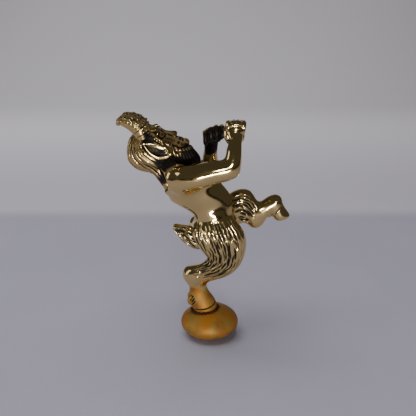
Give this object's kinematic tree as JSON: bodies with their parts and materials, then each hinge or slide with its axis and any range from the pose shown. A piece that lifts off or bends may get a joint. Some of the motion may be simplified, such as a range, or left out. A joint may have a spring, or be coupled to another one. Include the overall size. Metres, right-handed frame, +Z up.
{
  "type": "hood ornament",
  "caption": "Dancing faun car mascot in cast brass on a domed foot, with a tapped hole underneath for a fixing stud.",
  "frame": {"origin": "middle of the flat underside, on the axis and at the mouth of the tapped fixing hole", "axes": "+Z up, out of the top of the figure; +X the way the figure faces and raises its hoof; -Y the figure's right side"},
  "size_m": [0.0748, 0.0328, 0.1005],
  "materials": {
    "skin_brass": "bright polished antique brass, worn smooth",
    "fur_brass": "polished on the strands of fur, dark brown patina in the grooves",
    "head_brass": "polished on the locks of hair, near black patina between them",
    "horn_brass": "ridged, polished on the ridges",
    "hoof_brass": "polished smooth",
    "foot_brass": "orange brown heat tint from brazing over polished brass",
    "braze": "dark brazing metal and old flux",
    "pin_brass": "drawn brass rod, hidden"
  },
  "bodies": {
    "root": {"base_dome": "foot_brass", "foot_braze": "braze", "foot_pin": "pin_brass", "standing_hoof": "foot_brass", "standing_cannon": "foot_brass", "standing_shank": "fur_brass", "standing_thigh": "fur_brass", "haunches": "fur_brass", "tail": "fur_brass", "raised_thigh": "fur_brass", "raised_shank": "fur_brass", "raised_cannon": "fur_brass", "raised_hoof": "hoof_brass", "waist_pin": "pin_brass", "torso": "skin_brass", "shoulder_pins": "pin_brass", "neck_pin": "pin_brass", "head": "head_brass", "right_horn": "horn_brass", "left_horn": "horn_brass", "right_ear": "skin_brass", "left_ear": "skin_brass", "right_upper_arm": "skin_brass", "right_forearm": "skin_brass", "right_hand": "skin_brass", "left_upper_arm": "skin_brass", "left_forearm": "skin_brass", "left_hand": "skin_brass"}
  },
  "joints": []
}
